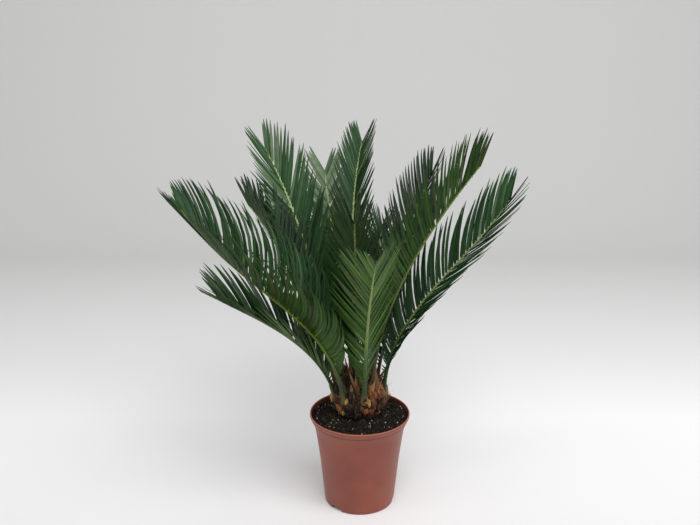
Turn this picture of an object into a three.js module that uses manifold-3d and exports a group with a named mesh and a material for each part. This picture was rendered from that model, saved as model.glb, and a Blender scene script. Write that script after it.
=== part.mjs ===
// A sago palm in a plastic pot: pot, soil, scaly trunk and a crown of feather-shaped fronds.
// Millimetres, +Z up. The origin is the centre of the pot's flat underside and the front faces -Y.

import * as THREE from 'three';
import { mergeVertices } from 'three/addons/utils/BufferGeometryUtils.js';
import Module from 'manifold-3d';

const wasm = await Module();
wasm.setup();

// Driving dimensions.
const clearance = 0.3;

const pot = {
  height: 163,
  baseRadius: 60,
  baseRounding: 3,
  wallTopRadius: 75.6,
  rimRadius: 85,
  rimHeight: 21,
  rimRounding: 1.8,
  rimLip: 2.6,
  ledge: 2.4,
  wall: 1.8,
  floor: 2.6,
  sides: 36,
  drainHoles: 6,
  drainRadius: 5,
  drainCircle: 38,
  drainDepth: 10,
  drainSides: 8,
  footNotches: 3,
  notchTurn: -41,
  notchWidth: 21,
  notchDepth: 9,
  notchHeight: 6.5,
};

const soil = {
  edgeHeight: 155,
  slopeHeight: 156.6,
  crownHeight: 160,
  crownRadius: 37,
  wallGap: 1,
  sides: 28,
};

// The trunk's profile holds [radius, height above the soil]. Leaf bases are the stubs of shed
// fronds, sized by width, depth and length, and scales are the pointed ones between the stalks.
const trunk = {
  centreY: 8,
  profile: [[31, 0], [37, 6], [43.5, 16], [46.5, 29], [45, 43], [37.5, 55], [25, 62], [10, 64]],
  crownRise: 1,
  sides: 20,
  leafBases: 46,
  leafBaseHeights: [14, 51],
  leafBaseSize: [17, 6, 26],
  leafBaseSunk: 0.3,
  leafBaseTilt: 7,
  scales: 16,
  scaleCircle: [14, 39],
  scaleSize: [7, 46],
  scaleFeet: [44, 32],
  scaleSplay: 16,
  scaleTurn: 40,
};

const goldenAngle = 137.5;

const rib = {
  steps: 60,
  sides: 4,
  rings: 8,
  tipRadius: 1.0,
  footGain: 2.8,
  taper: 1.2,
  footSwelling: 1.4,
  swellingShare: 0.03,
  flatness: 0.82,
  pocketGap: 0.45,
};

const leaflet = {
  spacing: 13.5,
  width: 11.5,
  thickness: 2,
  sunk: 0.5,
  waist: 0.22,
  rootAngle: 50,
  tipAngle: 24,
  fullAngle: 66,
  angleFall: 3,
  curl: 24,
  fold: 42,
  tipFold: 58,
  foldRise: 4,
  bareShare: 0.12,
  shortestShare: 0.2,
  growth: 0.18,
  tipLoss: 0.45,
  tipLossFall: 8,
  margin: 0.5,
  marginGain: 4,
  shortenings: [1, 0.8, 0.62, 0.45],
};

// Width and depth of the equal-sided triangle whose corners lie on a circle of radius one.
const triangle = { width: Math.sqrt(3), depth: 1.5 };

// Each frond: foot is the angle, radius and height where its stalk leaves the trunk. Azimuth 0
// points to -Y and 90 to +X, turn is how far it swings by the tip, and lean is the angle from
// upright at the foot, along the middle and at the tip. Length is the rib's, leaflet the
// longest leaflet's.
const fronds = [
  { name: 'frond_right_low', foot: [75, 42, 200], azimuth: 93, turn: -2, lean: [0, 61, 31],
    length: 390, leaflet: 106, roll: 42, twist: -4, curl: 32, fold: 36, tipFold: 46,
    tipLoss: 0.53 },
  { name: 'frond_right_tall', foot: [45, 28, 210], azimuth: 70, turn: -3, lean: [3, 31, 36],
    length: 428, leaflet: 115, roll: 5, rootAngle: 58, tipAngle: 21, curl: 18, fold: 45,
    tipFold: 63, tipLoss: 0.55 },
  { name: 'frond_left_low', foot: [285, 43, 196], azimuth: 287, turn: 6, lean: [16, 62, 56],
    length: 275, leaflet: 127, roll: -40, twist: -17, rootAngle: 36, tipAngle: 30, curl: 21,
    fold: 65, tipFold: 69, tipLoss: 0.6, growth: 0.1 },
  { name: 'frond_left_front', foot: [322, 44, 200], azimuth: 296, turn: -30, lean: [6, 74, 31],
    length: 421, leaflet: 130, roll: -25, twist: 8, rootAngle: 76, tipAngle: 10, curl: 49,
    fold: 62, tipFold: 10, tipLoss: 0.8, growth: 0.13 },
  { name: 'frond_front_low', foot: [9, 45, 203], azimuth: 5, turn: -1, lean: [6, 35, 48],
    length: 329, leaflet: 90, roll: 7, rootAngle: 57, tipAngle: 22, curl: 8, fold: 42,
    tipFold: 36, tipLoss: 0.78, growth: 0.11, bareShare: 0.1 },
  { name: 'frond_rear_left_tall', foot: [232, 32, 208], azimuth: 226, turn: 0, lean: [22, 19, 40],
    length: 426, leaflet: 110, roll: -32, twist: 11, rootAngle: 37, tipAngle: 22, curl: 8,
    fold: 25, tipFold: 43, tipLoss: 0.54, growth: 0.11 },
  { name: 'frond_rear_tall', foot: [190, 20, 216], azimuth: 192, turn: -25, lean: [19, 39, 47],
    length: 448, leaflet: 95, roll: 4, twist: -12, rootAngle: 36, curl: 8, fold: 41,
    tipFold: 37, tipLoss: 0.43, growth: 0.1 },
  { name: 'frond_left_rear', foot: [255, 40, 200], azimuth: 246, turn: 0, lean: [20, 20, 44],
    length: 345, leaflet: 98 },
  { name: 'frond_rear_right_tall', foot: [140, 30, 210], azimuth: 145, turn: 6, lean: [9, 44, 48],
    length: 396, leaflet: 98 },
  { name: 'frond_rear_left', foot: [200, 36, 206], azimuth: 197, turn: -10, lean: [18, 49, 55],
    length: 420, leaflet: 114, rootAngle: 36, tipAngle: 19, curl: 10, fold: 12, tipFold: 10,
    tipLoss: 0.38, growth: 0.16 },
  { name: 'frond_front_tall', foot: [350, 24, 214], azimuth: 358, turn: 0, lean: [11, 34, 43],
    length: 380, leaflet: 96, roll: 14 },
  { name: 'frond_rear_right', foot: [165, 38, 206], azimuth: 170, turn: 4, lean: [22, 62, 78],
    length: 362, leaflet: 98 },
  { name: 'frond_rear_left_low', foot: [225, 42, 200], azimuth: 214, turn: -4, lean: [22, 60, 74],
    length: 380, leaflet: 98 },
  { name: 'frond_right_inner', foot: [105, 30, 210], azimuth: 118, turn: 4, lean: [8, 26, 36],
    length: 320, leaflet: 92 },
];

const { degToRad: radians, lerp, mapLinear } = THREE.MathUtils;

// Solids from geometries and back.
function solidFrom(geometry) {
  geometry.deleteAttribute('normal');
  geometry.deleteAttribute('uv');
  const merged = mergeVertices(geometry, 1e-4);
  return new wasm.Manifold(new wasm.Mesh({
    numProp: 3,
    vertProperties: Float32Array.from(merged.attributes.position.array),
    triVerts: Uint32Array.from(merged.index.array),
  }));
}

function geometryFrom(solid) {
  const { vertProperties, triVerts } = solid.getMesh();
  const geometry = new THREE.BufferGeometry();
  geometry.setAttribute('position', new THREE.BufferAttribute(vertProperties, 3));
  geometry.setIndex(new THREE.BufferAttribute(triVerts, 1));
  geometry.computeVertexNormals();
  return geometry;
}

function meshOf(name, solid, colour, roughness) {
  const material = new THREE.MeshStandardMaterial({ color: colour, roughness, metalness: 0 });
  const mesh = new THREE.Mesh(geometryFrom(solid), material);
  mesh.name = name;
  return mesh;
}

function largestPiece(solid) {
  const pieces = solid.decompose();
  return pieces.reduce((best, piece) => (piece.volume() > best.volume() ? piece : best));
}

// A lathe shape from [radius, height] pairs, about the Y axis.
function lathe(profile, sides) {
  const points = profile.map(([radius, height]) => new THREE.Vector2(radius, height));
  return new THREE.LatheGeometry(points, sides);
}

// The same turned about the vertical axis, as a solid.
function turned(profile, sides) {
  return solidFrom(lathe(profile, sides).rotateX(Math.PI / 2));
}

// A solid from a unit shape that stands on Y from 0 to 1, every vertex carried to place(y, x, z).
function shaped(geometry, place) {
  const position = geometry.attributes.position;
  for (let i = 0; i < position.count; i += 1) {
    const point = place(position.getY(i), position.getX(i), position.getZ(i));
    position.setXYZ(i, point.x, point.y, point.z);
  }
  return solidFrom(geometry);
}

// A point at an angle, counted from -Y towards +X, round the vertical axis.
function around(angle, radius, height) {
  const turn = radians(angle);
  return new THREE.Vector3(radius * Math.sin(turn), -radius * Math.cos(turn), height);
}

// The pot: a thin tapered wall with a stepped-out rim, notched foot and drain holes.
function potSolid() {
  const shoulder = pot.height - pot.rimHeight;
  const inside = pot.wallTopRadius - pot.wall;
  const lipInside = pot.rimRadius - pot.rimLip;
  const wallProfile = [
    [0, 0],
    [pot.baseRadius - pot.baseRounding, 0],
    [pot.baseRadius, pot.baseRounding],
    [pot.wallTopRadius, shoulder],
    [pot.rimRadius - pot.rimRounding, shoulder],
    [pot.rimRadius, shoulder + pot.rimRounding],
    [pot.rimRadius, pot.height - pot.rimRounding],
    [pot.rimRadius - pot.rimRounding, pot.height],
    [lipInside, pot.height],
    [lipInside, shoulder + pot.ledge],
    [inside, shoulder + pot.ledge],
    [pot.baseRadius - pot.wall, pot.floor],
    [0, pot.floor],
  ];
  let solid = turned(wallProfile, pot.sides);
  for (let i = 0; i < pot.drainHoles; i += 1) {
    const { drainRadius, drainDepth, drainSides } = pot;
    const hole = new THREE.CylinderGeometry(drainRadius, drainRadius, drainDepth, drainSides);
    const centre = around(i * 360 / pot.drainHoles, pot.drainCircle, 0);
    hole.rotateX(Math.PI / 2).translate(centre.x, centre.y, 0);
    solid = solid.subtract(solidFrom(hole));
  }
  for (let i = 0; i < pot.footNotches; i += 1) {
    const notch = new THREE.BoxGeometry(pot.notchWidth, pot.notchDepth, 2 * pot.notchHeight);
    notch.translate(0, -pot.baseRadius, 0);
    notch.rotateZ(radians(pot.notchTurn + i * 360 / pot.footNotches));
    solid = solid.subtract(solidFrom(notch));
  }
  return solid;
}

// Soil that fills the pot up to its rim and rises a little to the trunk.
function soilSolid() {
  const floor = pot.floor + clearance;
  const ledge = pot.height - pot.rimHeight + pot.ledge;
  const floorRadius = pot.baseRadius - pot.wall - soil.wallGap;
  const ledgeRadius = pot.wallTopRadius - pot.wall - soil.wallGap;
  const rimRadius = pot.rimRadius - pot.rimLip - soil.wallGap;
  const mound = [
    [0, floor],
    [floorRadius, floor],
    [ledgeRadius, ledge + soil.wallGap],
    [rimRadius, ledge + soil.wallGap],
    [rimRadius, soil.edgeHeight],
    [(soil.crownRadius + rimRadius) / 2, soil.slopeHeight],
    [soil.crownRadius, soil.crownHeight],
    [0, soil.crownHeight],
  ];
  return turned(mound, soil.sides);
}

// The trunk's radius at a height above the soil.
function trunkRadius(height) {
  const rows = trunk.profile;
  const above = rows.findIndex(([, level]) => level >= height);
  const [lowRadius, low] = rows[above - 1];
  const [highRadius, high] = rows[above];
  return mapLinear(height, low, high, lowRadius, highRadius);
}

// Stubs of shed fronds, set in a spiral and tipped outwards.
function leafBaseSolid(i) {
  const height = lerp(...trunk.leafBaseHeights, (i + 0.5) / trunk.leafBases);
  const [width, depth, length] = trunk.leafBaseSize;
  const stub = new THREE.OctahedronGeometry(1, 0).scale(width / 2, depth, length / 2);
  stub.rotateX(radians(trunk.leafBaseTilt));
  stub.translate(0, trunk.leafBaseSunk * depth - trunkRadius(height), height);
  return solidFrom(stub.rotateZ(radians(i * goldenAngle)));
}

// Pointed scales that stand between the stalks, lower and more splayed towards the outside.
function scaleSolid(i) {
  const share = (i + 0.5) / trunk.scales;
  const [radius, length] = trunk.scaleSize;
  const spike = new THREE.ConeGeometry(radius, length, 4).rotateX(Math.PI / 2);
  spike.translate(0, 0, length / 2).rotateX(radians(trunk.scaleSplay * share));
  const circle = lerp(...trunk.scaleCircle, Math.sqrt(share));
  spike.translate(0, -circle, lerp(...trunk.scaleFeet, share));
  return solidFrom(spike.rotateZ(radians(trunk.scaleTurn + i * goldenAngle)));
}

// The trunk stands just clear of the soil, with a pocket round the foot of each rib.
function trunkSolid(pockets) {
  const [, topHeight] = trunk.profile.at(-1);
  const outline = [[0, 0], ...trunk.profile, [0, topHeight + trunk.crownRise]];
  let solid = turned(outline, trunk.sides);
  for (let i = 0; i < trunk.leafBases; i += 1) {
    solid = solid.add(leafBaseSolid(i));
  }
  for (let i = 0; i < trunk.scales; i += 1) {
    solid = solid.add(scaleSolid(i));
  }
  solid = solid.translate([0, trunk.centreY, soil.crownHeight + clearance]);
  for (const pocket of pockets) {
    solid = solid.subtract(pocket);
  }
  return largestPiece(solid);
}

// Directions at a share t of a frond's rib: along it, across it and out of its upper face.
function ribFrame(frond, t) {
  const [foot, middle, tip] = frond.lean;
  const lean = radians(foot * (1 - t) ** 2 + 2 * middle * t * (1 - t) + tip * t ** 2);
  const azimuth = radians(frond.azimuth + frond.turn * t);
  const roll = radians((frond.roll ?? 0) + (frond.twist ?? 0) * t);
  const along = new THREE.Vector3(
    Math.sin(lean) * Math.sin(azimuth), -Math.sin(lean) * Math.cos(azimuth), Math.cos(lean),
  );
  const level = new THREE.Vector3(Math.cos(azimuth), Math.sin(azimuth), 0);
  const across = level.applyAxisAngle(along, roll);
  const upper = along.clone().cross(across);
  return { along, across, upper };
}

// The rib's points, each a step further along the direction half way between.
function ribPoints(frond) {
  const [angle, radius, height] = frond.foot;
  const point = around(angle, radius, height);
  point.y += trunk.centreY;
  const points = [point.clone()];
  for (let i = 0; i < rib.steps; i += 1) {
    const { along } = ribFrame(frond, (i + 0.5) / rib.steps);
    point.addScaledVector(along, frond.length / rib.steps);
    points.push(point.clone());
  }
  return points;
}

function pointAt(points, t) {
  const place = t * rib.steps;
  const step = Math.min(Math.floor(place), rib.steps - 1);
  return points[step].clone().lerp(points[step + 1], place - step);
}

function ribRadius(t) {
  const swelling = rib.footSwelling * Math.exp(-t / rib.swellingShare);
  return rib.tipRadius + rib.footGain * (1 - t) ** rib.taper + swelling;
}

// A tapering rib, made thicker all round and deeper at the foot by extra.
function ribSolid(frond, points, extra = 0) {
  const rod = new THREE.CylinderGeometry(1, 1, 1, rib.sides, rib.rings).translate(0, 0.5, 0);
  return shaped(rod, (h, x, z) => {
    const { along, across, upper } = ribFrame(frond, h);
    const radius = ribRadius(h) + extra;
    const point = pointAt(points, h);
    point.addScaledVector(along, h > 0 ? 0 : -extra);
    point.addScaledVector(across, x * radius);
    return point.addScaledVector(upper, -z * radius * rib.flatness);
  });
}

function leafletLength(frond, u) {
  const growth = frond.growth ?? leaflet.growth;
  const growing = 1 - (1 - leaflet.shortestShare) * Math.exp(-u / growth);
  const tipLoss = frond.tipLoss ?? leaflet.tipLoss;
  return frond.leaflet * growing * (1 - tipLoss * u ** leaflet.tipLossFall);
}

// A leaflet at share u of the leafy stretch. It leaves the rib at an angle that closes towards
// the tip, in a plane folded up from the frond's, and bends forwards along an arc. The solid is
// a three-sided blade, pointed at both ends, whose root is sunk past the rib's axis.
function leafletSolid(frond, points, u, side, shortening, margin = 0) {
  const t = lerp(frond.bareShare ?? leaflet.bareShare, 1, u);
  const { along, across, upper } = ribFrame(frond, t);
  const folding = [frond.fold ?? leaflet.fold, frond.tipFold ?? leaflet.tipFold];
  const fold = radians(lerp(...folding, u ** leaflet.foldRise));
  const away = across.multiplyScalar(side * Math.cos(fold)).addScaledVector(upper, Math.sin(fold));
  const closing = [frond.rootAngle ?? leaflet.rootAngle, frond.tipAngle ?? leaflet.tipAngle];
  const rootAngle = lerp(...closing, u ** leaflet.angleFall);
  const openness = rootAngle / leaflet.fullAngle;
  const start = radians(rootAngle);
  const curl = radians((frond.curl ?? leaflet.curl) * openness);
  const length = leafletLength(frond, u) * shortening + margin;
  const sunk = leaflet.sunk * ribRadius(t) / length;
  const angle = (h) => start - curl * lerp(-sunk, 1, h);
  const arc = (h) => pointAt(points, t)
    .addScaledVector(along, (Math.sin(start) - Math.sin(angle(h))) * length / curl)
    .addScaledVector(away, (Math.cos(angle(h)) - Math.cos(start)) * length / curl);
  const under = away.clone().cross(along).multiplyScalar(side);
  const broad = arc(1).sub(arc(0)).normalize().cross(under);
  const wider = leaflet.marginGain * margin;
  const breadth = (leaflet.width * openness + wider) / triangle.width;
  const depth = (leaflet.thickness + wider) / triangle.depth;
  const blade = lathe([[0, 0], [1, leaflet.waist], [0, 1]], 3);
  return shaped(blade, (h, x, z) => (
    arc(h).addScaledVector(broad, x * breadth).addScaledVector(under, z * depth)
  ));
}

function boxesMeet(a, b) {
  return [0, 1, 2].every((k) => a.min[k] <= b.max[k] && b.min[k] <= a.max[k]);
}

// True where a solid touches none of the others.
function isClear(solid, others) {
  const box = solid.boundingBox();
  const near = others.filter((other) => boxesMeet(box, other.box));
  return near.every((other) => solid.intersect(other.solid).isEmpty());
}

function obstacle(owner, solid) {
  return { owner, solid, box: solid.boundingBox() };
}

// The longest leaflet that clears the trunk and every other frond, or none.
function fittedLeaflet(frond, points, u, side, others) {
  const shortening = leaflet.shortenings.find(
    (share) => isClear(leafletSolid(frond, points, u, side, share, leaflet.margin), others),
  );
  return shortening ? leafletSolid(frond, points, u, side, shortening) : null;
}

// Places of a frond's leaflets, to one side and the other by turns.
function leafletPlaces(frond) {
  const leafy = frond.length * (1 - (frond.bareShare ?? leaflet.bareShare));
  const count = 2 * Math.round(leafy / leaflet.spacing);
  return Array.from({ length: count }, (_, i) => ({ u: i / (count - 1), side: i % 2 ? 1 : -1 }));
}

// Ribs come first, then each frond in turn fuses on the leaflets that still have room.
function crownSolids(paths, ribs, trunkBody) {
  const taken = [obstacle('trunk', trunkBody)];
  fronds.forEach((frond, i) => taken.push(obstacle(frond.name, ribs[i])));
  return fronds.map((frond, i) => {
    const others = taken.filter((other) => other.owner !== frond.name);
    let whole = ribs[i];
    for (const { u, side } of leafletPlaces(frond)) {
      const blade = fittedLeaflet(frond, paths[i], u, side, others);
      if (blade) {
        taken.push(obstacle(frond.name, blade));
        whole = whole.add(blade);
      }
    }
    return largestPiece(whole);
  });
}

const palm = new THREE.Group();
const paths = fronds.map(ribPoints);
const ribs = fronds.map((frond, i) => ribSolid(frond, paths[i]));
const pockets = fronds.map((frond, i) => ribSolid(frond, paths[i], rib.pocketGap));
const trunkBody = trunkSolid(pockets);

palm.add(meshOf('pot', potSolid(), 0x9a4f3c, 0.45));
palm.add(meshOf('soil', soilSolid(), 0x2e221b, 0.95));
palm.add(meshOf('trunk', trunkBody, 0x6e4a2c, 0.85));
crownSolids(paths, ribs, trunkBody).forEach((solid, i) => {
  palm.add(meshOf(fronds[i].name, solid, 0x2f5a36, 0.4));
});

export default palm;
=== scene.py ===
import bpy
import numpy as np
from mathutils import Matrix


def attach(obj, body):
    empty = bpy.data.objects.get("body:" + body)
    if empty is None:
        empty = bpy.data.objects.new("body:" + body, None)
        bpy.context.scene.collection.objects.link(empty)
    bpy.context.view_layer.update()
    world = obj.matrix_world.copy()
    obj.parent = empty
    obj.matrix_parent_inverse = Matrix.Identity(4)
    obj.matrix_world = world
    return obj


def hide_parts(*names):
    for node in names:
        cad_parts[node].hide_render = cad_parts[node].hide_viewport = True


# A potted sago palm: pot, soil, scaly trunk and a crown of feather-shaped fronds. Sizes are in
# millimetres and angles in degrees, unless a note says otherwise. The front is -Y, right is +X.
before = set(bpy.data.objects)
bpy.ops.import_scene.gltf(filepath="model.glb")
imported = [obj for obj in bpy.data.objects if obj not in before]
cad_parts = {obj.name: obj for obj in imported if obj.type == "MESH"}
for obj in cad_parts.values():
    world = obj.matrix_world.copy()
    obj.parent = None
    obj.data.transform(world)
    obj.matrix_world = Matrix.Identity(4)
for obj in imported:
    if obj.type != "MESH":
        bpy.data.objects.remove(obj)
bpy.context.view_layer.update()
print("frame loaded:", len(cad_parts), "nodes")

mm = 0.001
goldenAngle = 137.5
trunkCentre = np.array([0.0, 8.0, 0.0])
reliefWaves = 28
reliefSizes = (0.6, 1.7)              # shortest and longest wave, as shares of a relief's size
reliefDamping = 1.6                   # the larger, the fewer peaks pass a relief's height


def gridFaces(rows, columns, closed=True):
    # the four-cornered faces of a grid of points; closed joins the last column to the first
    row = np.arange(rows - 1)[:, None] * columns
    column = np.arange(columns if closed else columns - 1)[None, :]
    after = (column + 1) % columns
    corners = [row + column, row + after, row + columns + after, row + columns + column]
    return np.stack(corners, -1).reshape(-1, 4)


def fan(start, sides, pole):
    # triangles that close a ring, whose points count from start on, to one point beyond it
    ring = start + np.arange(sides)
    return np.stack([ring, np.roll(ring, -1), np.full(sides, pole)], -1)


def closedTube(rings, sides):
    # rings of points closed to a pole at either end; the poles' two points follow the rings
    count = rings * sides
    low = fan(0, sides, count)[:, [1, 0, 2]]
    return [gridFaces(rings, sides), low, fan(count - sides, sides, count + 1)]


def repeated(faces, copies, each):
    # the same faces for every copy, each copy having `each` points
    steps = np.arange(copies)[:, None, None] * each
    return [(part + steps).reshape(-1, part.shape[1]) for part in faces]


def meshPiece(name, materials, points, faces, faceMaterial=None, uv=None, sharp=45, **marks):
    # one object at the origin from whole arrays; marks are numbers kept at its points, and
    # faces that meet at less than `sharp` are shaded smooth, while at 0 all of them stay flat
    corners = np.concatenate([part.ravel() for part in faces]).astype(np.int32)
    sizes = np.concatenate([np.full(len(part), part.shape[1]) for part in faces])
    mesh = bpy.data.meshes.new(name)
    mesh.vertices.add(len(points))
    mesh.vertices.foreach_set("co", (points * mm).astype(np.float32).ravel())
    mesh.loops.add(len(corners))
    mesh.loops.foreach_set("vertex_index", corners)
    mesh.polygons.add(len(sizes))
    starts = np.concatenate([[0], np.cumsum(sizes)[:-1]]).astype(np.int32)
    mesh.polygons.foreach_set("loop_start", starts)
    if faceMaterial is not None:
        mesh.polygons.foreach_set("material_index", faceMaterial.astype(np.int32))
    mesh.polygons.foreach_set("use_smooth", np.full(len(sizes), sharp > 0))
    if uv is not None:
        layer = mesh.uv_layers.new(name="across")
        layer.data.foreach_set("uv", uv[corners].astype(np.float32).ravel())
    for mark, values in marks.items():
        layer = mesh.attributes.new(mark, "FLOAT", "POINT")
        layer.data.foreach_set("value", values.astype(np.float32))
    mesh.update(calc_edges=True)
    mesh.validate()
    if sharp > 0:
        mesh.set_sharp_from_angle(angle=np.radians(sharp))
    for material in materials:
        mesh.materials.append(material)
    piece = bpy.data.objects.new(name, mesh)
    bpy.context.scene.collection.objects.link(piece)
    return piece


def finishPiece(piece, slot, *nodes):
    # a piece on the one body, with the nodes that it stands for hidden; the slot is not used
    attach(piece, "root")
    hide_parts(*nodes)


def unit(v):
    # the same directions with the length one
    return v / np.linalg.norm(v, axis=-1, keepdims=True)


def circle(sides):
    # even angles round a circle, in radians
    return 2 * np.pi * np.arange(sides) / sides


def around(angle, radius, height):
    # points at angles counted from the front towards the right
    turn = np.radians(angle)
    return np.stack(np.broadcast_arrays(radius * np.sin(turn), -radius * np.cos(turn), height), -1)


def turned(first, second, angle):
    # two directions at right angles, turned in their plane by an angle in radians:
    # first cos a + second sin a, and second cos a - first sin a
    return (first * np.cos(angle) + second * np.sin(angle),
            second * np.cos(angle) - first * np.sin(angle))


def denser(profile, parts):
    # each stretch of a profile in so many equal parts, without the first point and the last
    stretches = zip(profile[:-1], profile[1:], parts)
    return np.concatenate([np.linspace(*stretch, endpoint=False) for stretch in stretches])[1:]


def relief(points, *layers):
    # for each layer of height, size and seed a sum of plane waves in random directions, each
    # about size long; nine parts in ten stay within the height, and few peaks reach twice it
    total = 0
    for height, size, seed in layers:
        draw = np.random.default_rng(seed)
        direction = unit(draw.normal(size=(reliefWaves, 3)))
        number = 2 * np.pi / (size * draw.uniform(*reliefSizes, reliefWaves))
        phase = draw.uniform(0, 2 * np.pi, reliefWaves)
        waves = np.sin(points @ (direction * number[:, None]).T + phase)
        total = total + height * waves.sum(-1) / np.sqrt(reliefWaves * reliefDamping)
    return total


def newMaterial(name):
    # a material that starts with its own shader and output nodes
    material = bpy.data.materials.new(name)
    material.use_nodes = True
    return material


def plug(material, socket, value):
    # a socket takes another node's output or a plain value
    if isinstance(value, bpy.types.NodeSocket):
        material.node_tree.links.new(value, socket)
    else:
        socket.default_value = value


def addNode(material, kind, settings=None, **inputs):
    # a node with its settings; sockets go by their names, or as i0, i1 and so on by number
    node = material.node_tree.nodes.new("ShaderNode" + kind)
    for key, value in (settings or {}).items():
        setattr(node, key, value)
    for key, value in inputs.items():
        place = int(key[1:]) if key[1:].isdigit() else key.replace("_", " ")
        plug(material, node.inputs[place], value)
    return node


def setShader(material, **inputs):
    # the shader's sockets by their names
    shader = material.node_tree.nodes["Principled BSDF"]
    for key, value in inputs.items():
        plug(material, shader.inputs[key.replace("_", " ")], value)


def colourOf(shade):
    # three numbers of 0 to 255 as on screen, or one number for a grey, as the shader wants it
    if np.isscalar(shade):
        return (shade, shade, shade, 1.0)
    screen = np.array(shade) / 255
    linear = np.where(screen < 0.04045, screen / 12.92, ((screen + 0.055) / 1.055) ** 2.4)
    return (*linear.tolist(), 1.0)


def ramp(material, factor, stops):
    # a colour ramp with (place, shade) stops
    node = addNode(material, "ValToRGB", Fac=factor)
    elements = node.color_ramp.elements
    while len(elements) < len(stops):
        elements.new(0.5)
    for element, (place, shade) in zip(elements, stops):
        element.position = place
        element.color = colourOf(shade)
    return node.outputs["Color"]


def mixed(material, factor, first, second, blend="MIX"):
    # the first colour at factor 0, going to the second one, or to their blend, at 1
    node = addNode(material, "Mix", {"data_type": "RGBA", "blend_type": blend}, i0=factor,
                   i6=first, i7=second)
    return node.outputs[2]


def shaded(material, body, factor, greys):
    # a colour times the grey that a ramp gives
    return mixed(material, 1.0, body, ramp(material, factor, greys), "MULTIPLY")


def calculated(material, operation, *values):
    # one step of arithmetic
    node = addNode(material, "Math", {"operation": operation})
    for socket, value in zip(node.inputs, values):
        plug(material, socket, value)
    return node.outputs[0]


def rescaled(material, value, low, high, first=0.0, last=1.0):
    # values from low to high go evenly from first to last, and stay there beyond
    return addNode(material, "MapRange", i0=value, i1=low, i2=high, i3=first, i4=last).outputs[0]


def markOf(material, name):
    # a number that a piece keeps at its points
    return addNode(material, "Attribute", {"attribute_name": name}).outputs["Fac"]


def placeOn(material, source, **settings):
    # X, Y and Z of Object coordinates, or X along a piece and Y across it on its own map
    place = addNode(material, source, settings).outputs["Object" if source == "TexCoord" else "UV"]
    return addNode(material, "SeparateXYZ", Vector=place).outputs


def noiseOf(material, scale, detail=3.0, roughness=0.55, stretch=(1, 1, 1)):
    # noise on Object coordinates, scale in waves per metre
    where = addNode(material, "TexCoord").outputs["Object"]
    placed = addNode(material, "Mapping", Vector=where, Scale=stretch).outputs["Vector"]
    noise = addNode(material, "TexNoise", Vector=placed, Scale=scale, Detail=detail,
                    Roughness=roughness)
    return noise.outputs["Fac"]


def bumpOf(material, height, strength, distance):
    # distance is the relief's depth in metres
    return addNode(material, "Bump", Height=height, Strength=strength,
                   Distance=distance).outputs["Normal"]
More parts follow.
